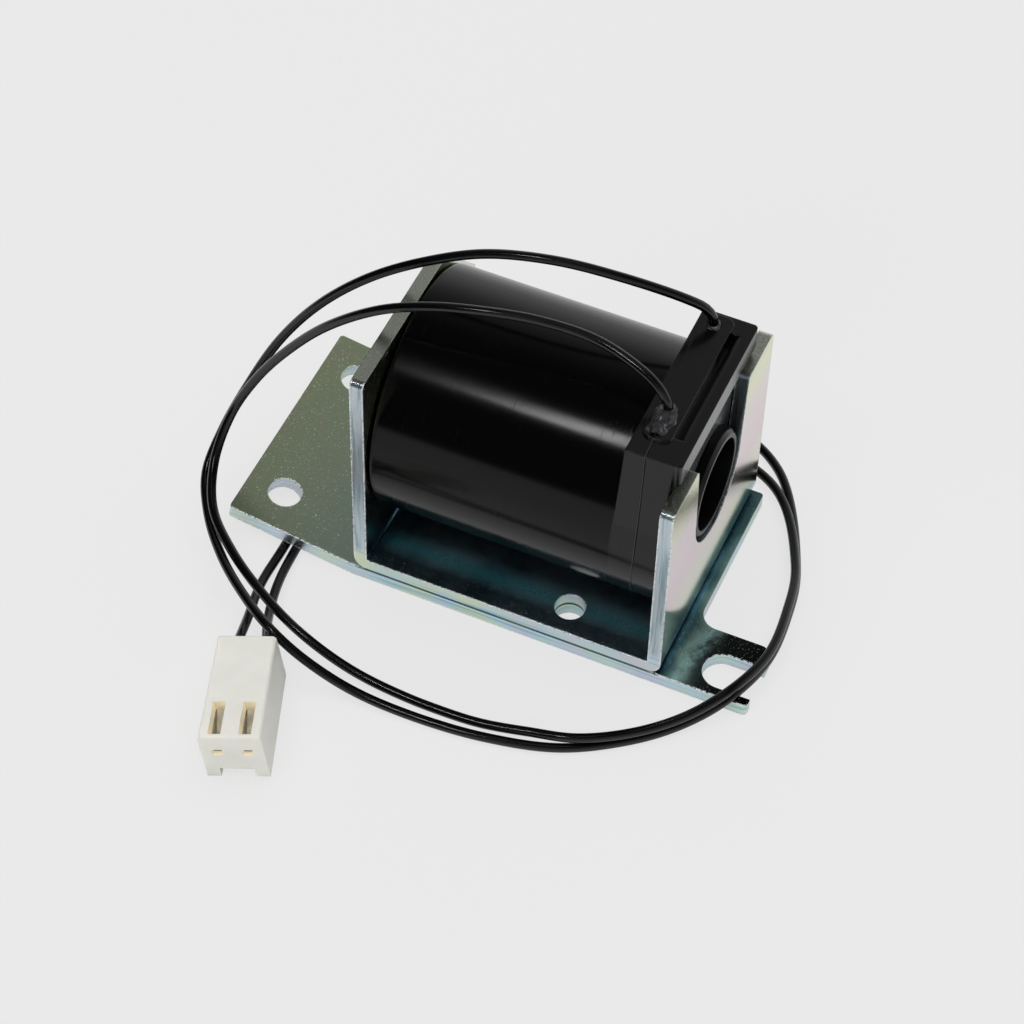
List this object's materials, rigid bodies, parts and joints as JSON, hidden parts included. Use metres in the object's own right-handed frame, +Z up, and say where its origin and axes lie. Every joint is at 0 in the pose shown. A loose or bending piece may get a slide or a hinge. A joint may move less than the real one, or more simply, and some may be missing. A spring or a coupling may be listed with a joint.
{
  "type": "ice dispenser solenoid",
  "caption": "Open-frame pull solenoid: black moulded coil in a plated steel U-frame on a flanged base plate, with a sliding plunger and leads to an ivory plug.",
  "frame": {"origin": "underside of the base plate, under the middle of the steel frame", "axes": "+X along the bore towards its open mouth, +Y across the frame, +Z up"},
  "size_m": [0.0813, 0.0848, 0.0478],
  "materials": {
    "plate_zinc": "zinc plated, pale iridescent passivate",
    "frame_zinc": "zinc plated, pale iridescent passivate",
    "cover_black": "glossy black moulding with fine scuffs",
    "bobbin_nylon": "satin black nylon",
    "copper": "enamelled copper wire",
    "wrap_film": "amber tape",
    "terminal_brass": "plain",
    "hot_melt": "translucent hot-melt glue",
    "core_steel": "plated, turned",
    "lead_pvc": "glossy black insulation",
    "plug_nylon": "natural ivory nylon",
    "contact_brass": "tinned brass"
  },
  "bodies": {
    "frame": {"base_plate": "plate_zinc", "c_frame": "frame_zinc", "coil_cover": "cover_black", "bobbin": "bobbin_nylon", "winding": "copper", "insulation_wrap": "wrap_film", "terminal_near": "terminal_brass", "terminal_far": "terminal_brass", "glue_near": "hot_melt", "glue_far": "hot_melt", "pole_piece": "core_steel", "lead_wire_near": "lead_pvc", "lead_wire_far": "lead_pvc", "connector_housing": "plug_nylon", "contact_near": "contact_brass", "contact_far": "contact_brass"},
    "plunger": {"plunger": "core_steel"}
  },
  "joints": [
    {"name": "plunger_slide", "type": "slide", "parent": "frame", "child": "plunger", "axis": [1, 0, 0], "range_m": [0, 0.013]}
  ]
}
